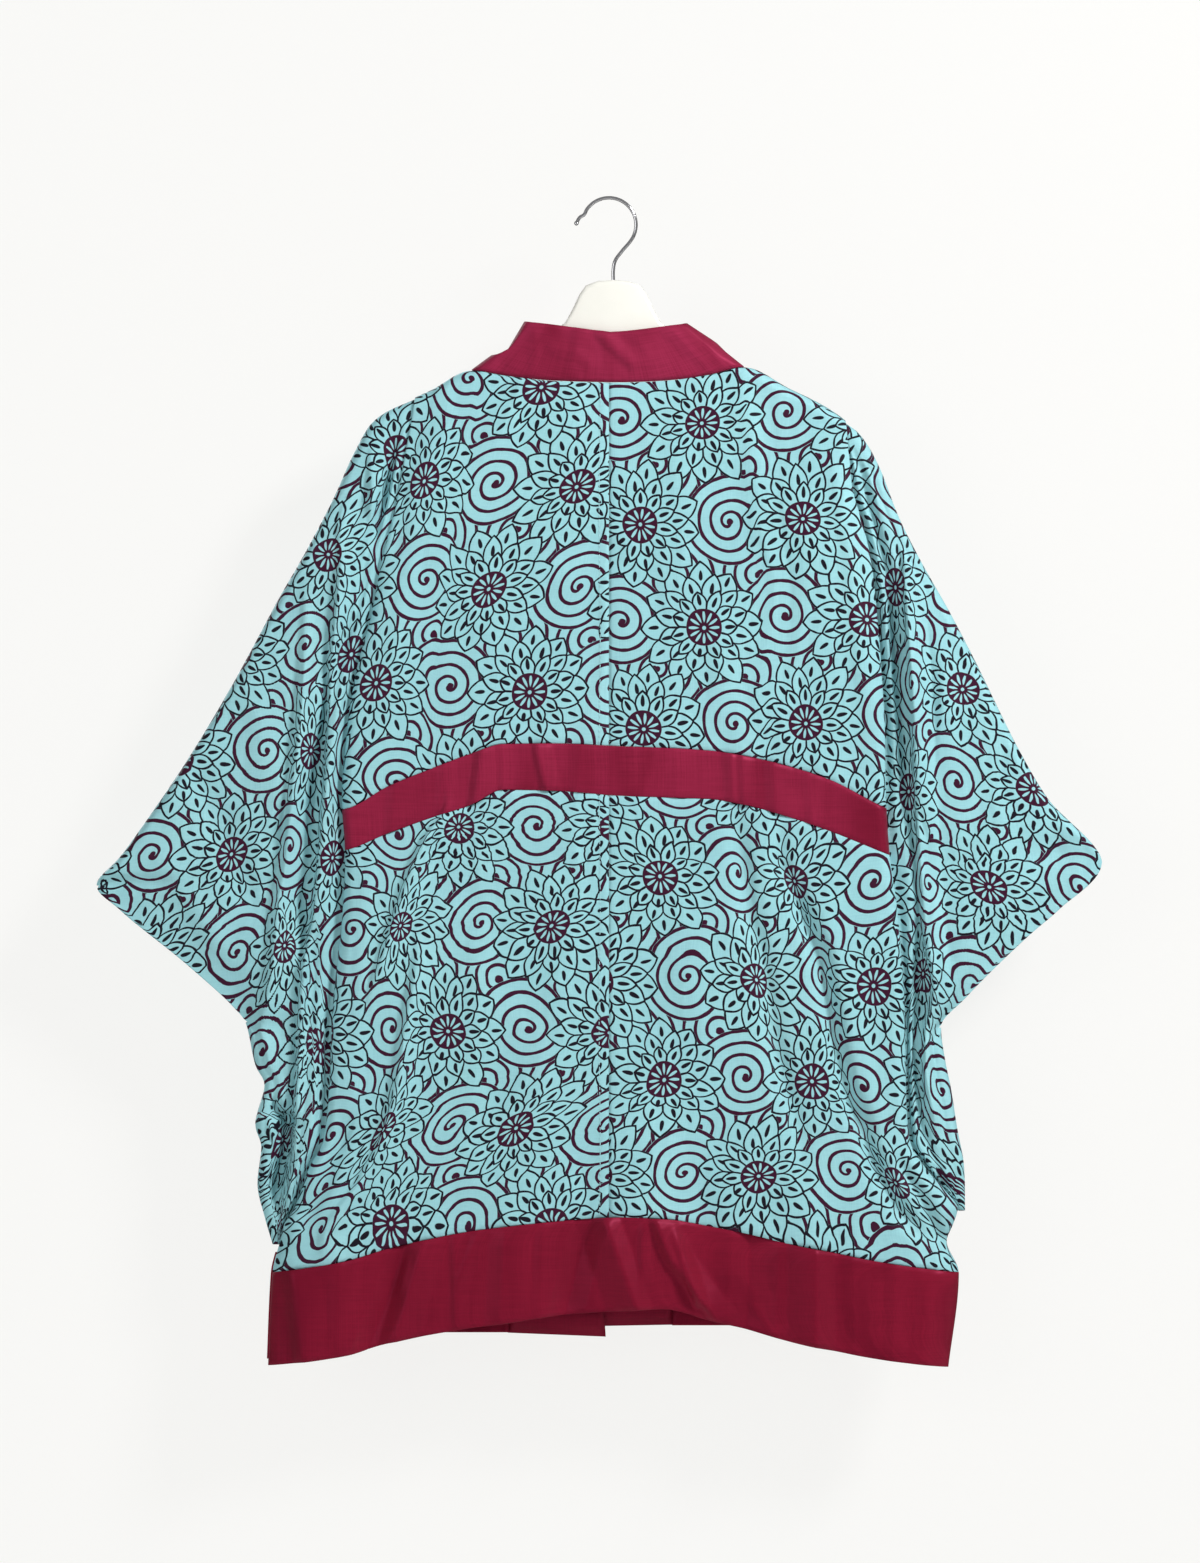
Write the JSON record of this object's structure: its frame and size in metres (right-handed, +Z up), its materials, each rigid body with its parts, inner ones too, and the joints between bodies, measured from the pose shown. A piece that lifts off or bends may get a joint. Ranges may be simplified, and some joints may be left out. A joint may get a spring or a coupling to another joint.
{
  "type": "kimono jacket on clothes hanger",
  "caption": "Hip-length kimono jacket with wide bagged sleeves, plain collar, waist and hem bands, hung flat on a moulded hanger with a wire hook",
  "frame": {"origin": "inside top of the hook's bend, where the hook rests on its rod or peg", "axes": "+Z up, -Y out of the jacket's back, +X to the right as one faces the back"},
  "size_m": [0.925, 0.0493, 1.0766],
  "materials": {
    "printed_cloth": "matt woven cloth, turquoise with dark maroon flowers and whirls",
    "burgundy_cloth": "plain burgundy cloth with a soft silky sheen",
    "hanger_white": "smooth off-white",
    "hook_chrome": "bright plated wire"
  },
  "bodies": {
    "root": {"back_upper_left": "printed_cloth", "back_upper_right": "printed_cloth", "back_lower_left": "printed_cloth", "back_lower_right": "printed_cloth", "sleeve_left": "printed_cloth", "sleeve_right": "printed_cloth", "front_left": "printed_cloth", "front_right": "printed_cloth", "waist_band": "burgundy_cloth", "back_hem_band": "burgundy_cloth", "front_hem_left": "burgundy_cloth", "front_hem_right": "burgundy_cloth", "collar_band": "burgundy_cloth", "slit_facing_left": "burgundy_cloth", "hanger_body": "hanger_white", "hanger_hook": "hook_chrome"}
  },
  "joints": []
}
